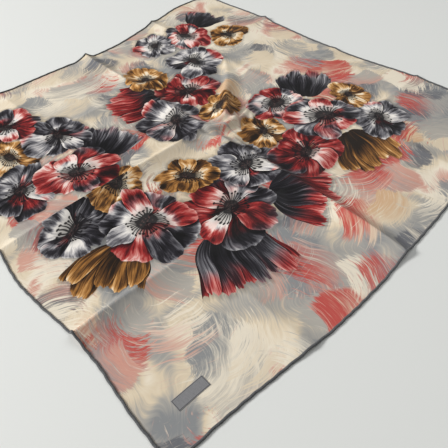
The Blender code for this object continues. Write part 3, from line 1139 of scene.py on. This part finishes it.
def make_hem(side):
    """One rolled hem: a long rod, cut into rings and laid along the cloth's edge."""
    deselect_all()
    bpy.ops.mesh.primitive_cylinder_add(vertices=HEM_SIDES, radius=1, depth=1)
    hem = bpy.context.object
    hem.name = f"rolled_hem_{side}"
    bpy.context.tool_settings.mesh_select_mode = (False, True, False)
    for cuts in HEM_CUTS:
        bpy.ops.object.mode_set(mode="EDIT")
        bpy.ops.mesh.select_all(action="DESELECT")
        bpy.ops.object.mode_set(mode="OBJECT")
        for edge in hem.data.edges:
            low, high = (hem.data.vertices[i].co for i in edge.vertices)
            edge.select = abs(low.z - high.z) > LEVEL
        bpy.ops.object.mode_set(mode="EDIT")
        bpy.ops.mesh.subdivide(number_cuts=cuts)
        bpy.ops.object.mode_set(mode="OBJECT")
    rod = positions(hem.data)
    share = rod[:, 2] + 0.5
    angle = np.arctan2(rod[:, 1], rod[:, 0])
    middle = on_cloth(*HEM_WAYS[side](share))
    ahead = on_cloth(*HEM_WAYS[side](np.minimum(share + RUN_STEP, 1)))
    behind = on_cloth(*HEM_WAYS[side](np.maximum(share - RUN_STEP, 0)))
    run = ahead - behind
    run /= np.linalg.norm(run, axis=1, keepdims=True)
    across = np.stack([run[:, 1], -run[:, 0], 0 * share], -1)
    across /= np.linalg.norm(across, axis=1, keepdims=True)
    up = np.cross(across, run)
    length = share * SIDE
    turns = length / THREAD_PITCH + THREAD_SLANT * angle / (2 * pi)
    thread = THREAD_DEPTH * (np.abs(np.sin(pi * turns)) - THREAD_MIDDLE)
    out = np.cos(angle) * (HEM_WIDTH / 2 + thread)
    lift = HEM_HEIGHT / 2 + np.sin(angle) * (HEM_HEIGHT / 2 + thread)
    # Near a corner the rings lean until the last one lies on the mitre.
    outer = 1 if side in ("front", "right") else -1
    lean_start = np.maximum(1 - length / MITRE_REACH, 0)
    lean_end = np.maximum(1 - (SIDE - length) / MITRE_REACH, 0)
    lean = (lean_end - lean_start) * out * outer
    points = middle + across * out[:, None] + run * lean[:, None] + up * lift[:, None]
    move_points(hem.data, points)
    bpy.ops.object.shade_smooth()
    return hem


hems = [make_hem(side) for side in HEM_WAYS]

# Dark grey thread, mottled with paler fibres, in cells to the metre.
FIBRES = 900
thread_finish, tree, shader = new_material("hem_thread", roughness=0.75, sheen=0.3)
own_place = tree.nodes.new("ShaderNodeTexCoord")
x, y, z = parts(Wire(own_place.outputs["Object"]))
mottle = noise(spot(tree, x * FIBRES, y * FIBRES, z * FIBRES), 3.0)
colour = mixed(smooth(mottle, 0.3, 0.7), paint(52, 53, 55), paint(92, 94, 96))
plug(colour, shader.inputs["Base Color"])
add_bump(tree, shader, mottle, strength=0.4)
for hem, side in zip(hems, HEM_WAYS):
    hem.data.materials.append(thread_finish)
    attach(hem, "root")
    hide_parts(f"hem_{side}")


# ---------------------------------------------------------------------------------------------
# The label: a short grey woven tape sewn flat near the front left corner, along the front hem.
# It is blank, with a thin dark line round its edge.

LABEL_LENGTH = 50.0
LABEL_WIDTH = 17.0
LABEL_THICKNESS = 0.6
LABEL_CENTRE = (71.0, 51.5)
LABEL_CELLS = (100, 34)
SHARP_EDGE = 40

deselect_all()
cells_along, cells_across = LABEL_CELLS
bpy.ops.mesh.primitive_grid_add(x_subdivisions=cells_along, y_subdivisions=cells_across, size=1)
label = bpy.context.object
label.name = "sewn_label"
tape = positions(label.data)[:, :2]
label_x, label_y = tape[:, 0] * LABEL_LENGTH, tape[:, 1] * LABEL_WIDTH
points = on_cloth((LABEL_CENTRE[0] + label_x) / SIDE, (LABEL_CENTRE[1] + label_y) / SIDE)
points[:, 2] += CLOTH_THICKNESS
move_points(label.data, points)
keep_vectors(label.data, "label place", np.stack([label_x, label_y, 0 * label_x], -1))
thicken(label, LABEL_THICKNESS)
bpy.ops.object.shade_smooth_by_angle(angle=radians(SHARP_EDGE))

# Grey tape, woven in cells to the millimetre, with its border between two distances from the edge.
TAPE_WEAVE = 2.6
BORDER_FROM = 0.5
BORDER_TO = 1.3
BORDER_BLUR = 0.1
tape_finish, tree, shader = new_material("label_tape", roughness=0.6, sheen=0.2)
place = read(tree, "label place")
x, y = parts(place)[:2]
from_end = LABEL_LENGTH / 2 - x.math("ABSOLUTE")
from_side = LABEL_WIDTH / 2 - y.math("ABSOLUTE")
from_edge = from_end.math("MINIMUM", from_side)
(height,) = use_pattern(tree, weave_group, place, TAPE_WEAVE)
colour = mixed(smooth(height, 0.3, 0.7), paint(112, 112, 114), paint(134, 134, 136))
border = smooth(from_edge, BORDER_FROM, BORDER_FROM + BORDER_BLUR)
border = border * smooth(from_edge, BORDER_TO, BORDER_TO - BORDER_BLUR)
colour = mixed(border, colour, paint(52, 54, 58))
plug(colour, shader.inputs["Base Color"])
add_bump(tree, shader, height, strength=0.4)
label.data.materials.append(tape_finish)
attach(label, "root")
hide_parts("label")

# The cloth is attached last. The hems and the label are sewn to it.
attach(cloth, "root")
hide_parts("cloth_panel")


# ---------------------------------------------------------------------------------------------
# The table, the light and the camera: a pale matt top, a wide soft light from the far left with
# an even pale fill, and the camera low over the front left corner, looking down at the scarf.

TABLE_SIZE = 12
# The top lies this far under the scarf, so that no two faces share a plane.
TABLE_GAP = 0.0002
deselect_all()
bpy.ops.mesh.primitive_plane_add(size=TABLE_SIZE, location=(0, 0, -TABLE_GAP))
table = bpy.context.object
table.name = "table_top"
table_finish, _, shader = new_material("pale_table", roughness=0.7, sheen=0.0)
shader.inputs["Base Color"].default_value = paint(226, 228, 225)
table.data.materials.append(table_finish)

ROOM_LIGHT = 0.22
world = bpy.data.worlds.new("pale_room")
world.use_nodes = True
background = world.node_tree.nodes["Background"]
background.inputs["Color"].default_value = (1.0, 1.0, 1.0, 1.0)
background.inputs["Strength"].default_value = ROOM_LIGHT
bpy.context.scene.world = world


def add_light(name, place, target, size, power, colour):
    """A square soft light at a place, turned to its target."""
    deselect_all()
    bpy.ops.object.light_add(type="AREA", location=place)
    light = bpy.context.object
    light.name = name
    light.data.size = size
    light.data.energy = power
    light.data.color = colour
    light.rotation_euler = (Vector(target) - Vector(place)).to_track_quat("-Z", "Y").to_euler()


add_light("window", (-3.4, 2.8, 2.5), (0, 0, 0), size=1.4, power=290, colour=(1.0, 0.99, 0.98))
add_light("ceiling", (1.2, -0.2, 2.2), (0.2, 0, 0), size=2.0, power=17, colour=(1.0, 1.0, 1.0))

CAMERA_PLACE = (-0.5431, -0.6552, 0.5916)
CAMERA_AIM = (0.4684, 0.5175, -0.7161)
CAMERA_ROLL = -0.0490
CAMERA_LENS = 40.65
SENSOR_WIDTH = 36
deselect_all()
bpy.ops.object.camera_add(location=CAMERA_PLACE)
camera = bpy.context.object
aim = Vector(CAMERA_AIM).normalized()
right = aim.cross(Vector((0, 0, 1))).normalized()
upward = right.cross(aim)
rolled_right = right * cos(CAMERA_ROLL) + upward * sin(CAMERA_ROLL)
rolled_up = upward * cos(CAMERA_ROLL) - right * sin(CAMERA_ROLL)
camera.matrix_world = Matrix.Translation(CAMERA_PLACE) @ Matrix(
    (rolled_right, rolled_up, -aim)
).transposed().to_4x4()
camera.data.lens = CAMERA_LENS
camera.data.sensor_width = SENSOR_WIDTH
bpy.context.scene.camera = camera
bpy.context.scene.view_settings.view_transform = "Standard"
